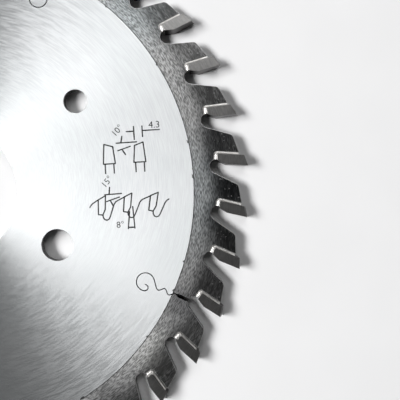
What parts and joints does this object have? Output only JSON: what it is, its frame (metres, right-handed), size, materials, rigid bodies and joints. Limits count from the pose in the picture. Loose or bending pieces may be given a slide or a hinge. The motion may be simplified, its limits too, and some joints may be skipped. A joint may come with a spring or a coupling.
{
  "type": "conical scoring saw blade",
  "caption": "Round carbide-tipped scoring saw blade with a large bore, paired drive-pin holes, gullets and curled expansion slots.",
  "frame": {"origin": "centre of the bore, halfway through the plate", "axes": "+Z along the bore's axis, out of the side seen in the picture; +X through the cutting corner of tooth 1; seen from +Z the blade turns clockwise"},
  "size_m": [0.2, 0.2, 0.0054],
  "materials": {
    "ground_steel": "ground tool steel, circular brushing, heat-darkened towards the teeth",
    "sintered_carbide": "ground tungsten carbide, satin dark grey",
    "silver_braze": "bright silver solder, fused to the plate",
    "black_print": "thin matt black print"
  },
  "bodies": {
    "root": {"blade_plate": "ground_steel", "carbide_tip_01": "sintered_carbide", "carbide_tip_02": "sintered_carbide", "carbide_tip_03": "sintered_carbide", "carbide_tip_04": "sintered_carbide", "carbide_tip_05": "sintered_carbide", "carbide_tip_06": "sintered_carbide", "carbide_tip_07": "sintered_carbide", "carbide_tip_08": "sintered_carbide", "carbide_tip_09": "sintered_carbide", "carbide_tip_10": "sintered_carbide", "carbide_tip_11": "sintered_carbide", "carbide_tip_12": "sintered_carbide", "carbide_tip_13": "sintered_carbide", "carbide_tip_14": "sintered_carbide", "carbide_tip_15": "sintered_carbide", "carbide_tip_16": "sintered_carbide", "carbide_tip_17": "sintered_carbide", "carbide_tip_18": "sintered_carbide", "carbide_tip_19": "sintered_carbide", "carbide_tip_20": "sintered_carbide", "carbide_tip_21": "sintered_carbide", "carbide_tip_22": "sintered_carbide", "carbide_tip_23": "sintered_carbide", "carbide_tip_24": "sintered_carbide", "carbide_tip_25": "sintered_carbide", "carbide_tip_26": "sintered_carbide", "carbide_tip_27": "sintered_carbide", "carbide_tip_28": "sintered_carbide", "carbide_tip_29": "sintered_carbide", "carbide_tip_30": "sintered_carbide", "carbide_tip_31": "sintered_carbide", "carbide_tip_32": "sintered_carbide", "carbide_tip_33": "sintered_carbide", "carbide_tip_34": "sintered_carbide", "carbide_tip_35": "sintered_carbide", "carbide_tip_36": "sintered_carbide"}
  },
  "joints": []
}
